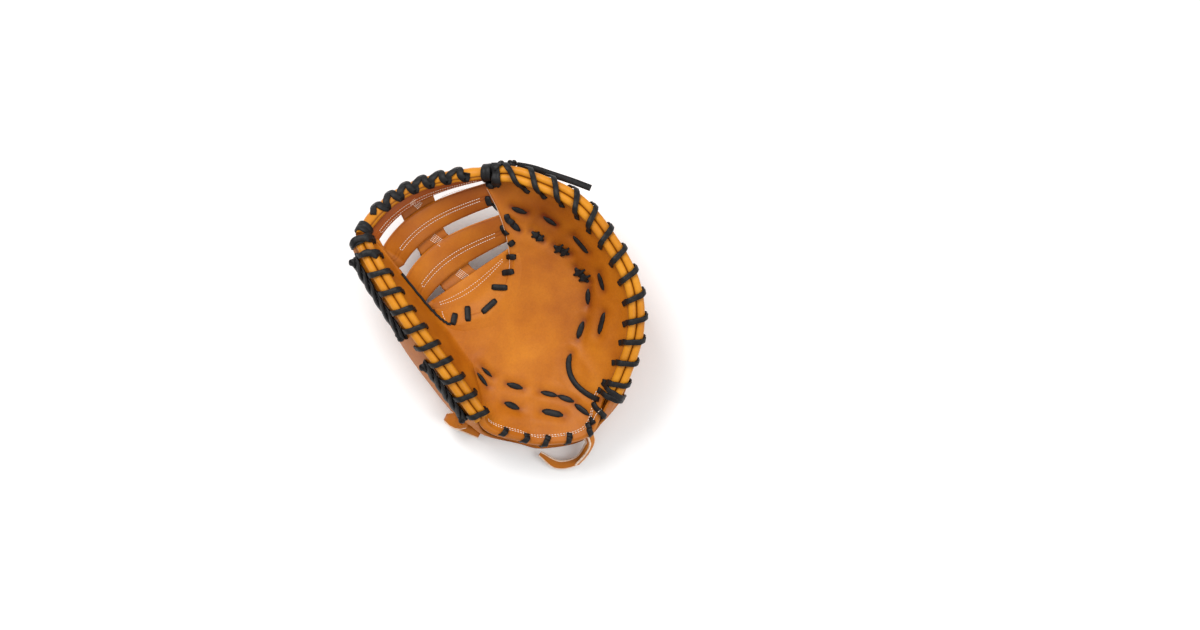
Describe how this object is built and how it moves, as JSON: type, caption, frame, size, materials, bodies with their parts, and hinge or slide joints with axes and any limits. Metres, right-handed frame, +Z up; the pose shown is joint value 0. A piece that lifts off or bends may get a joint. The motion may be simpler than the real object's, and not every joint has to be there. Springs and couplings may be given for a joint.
{
  "type": "first baseman's mitt",
  "caption": "Deep leather first baseman's mitt for the left hand, lying on its back with the palm up, with laced rims, a barred web and a strap at the wrist.",
  "frame": {"origin": "middle of the flat patch on the back of the fingers that the mitt rests on", "axes": "+Z up, out of the palm; +Y from the heel towards the finger tips; +X from the thumb towards the little finger"},
  "size_m": [0.3088, 0.3275, 0.1247],
  "materials": {
    "leather_tan": "smooth, slightly waxed",
    "leather_light": "smooth, slightly waxed",
    "leather_dark": "smooth, slightly waxed",
    "rawhide_black": "satin",
    "lining_black": "matt"
  },
  "bodies": {
    "root": {"palm_shell": "leather_tan", "thumb_back": "leather_tan", "wrist_back": "leather_tan", "finger_back": "leather_tan", "finger_binding": "leather_light", "thumb_binding": "leather_light", "finger_rim_lace": "rawhide_black", "thumb_rim_lace": "rawhide_black", "heel_lace": "rawhide_black", "hand_liner": "lining_black", "web_top_roll": "leather_light", "web_top_lace": "rawhide_black", "finger_tip_wrap": "rawhide_black", "thumb_tip_wrap": "rawhide_black", "web_base_bar": "leather_tan", "web_lower_bar": "leather_tan", "web_upper_bar": "leather_tan", "web_top_band": "leather_dark", "web_post": "leather_tan", "web_knot_upper": "rawhide_black", "web_lace_upper": "rawhide_black", "web_knot_lower": "rawhide_black", "web_lace_lower": "rawhide_black", "web_tail_upper": "rawhide_black", "web_tail_lower": "rawhide_black", "finger_tip_knot": "rawhide_black", "tip_tail": "rawhide_black", "finger_knot": "rawhide_black", "finger_lace": "rawhide_black", "finger_tail": "rawhide_black", "thumb_side_lace_upper": "rawhide_black", "thumb_side_lace_lower": "rawhide_black", "wrist_strap": "leather_tan", "little_flap": "leather_tan", "strap_tab": "leather_tan", "heel_strap": "leather_tan"}
  },
  "joints": []
}
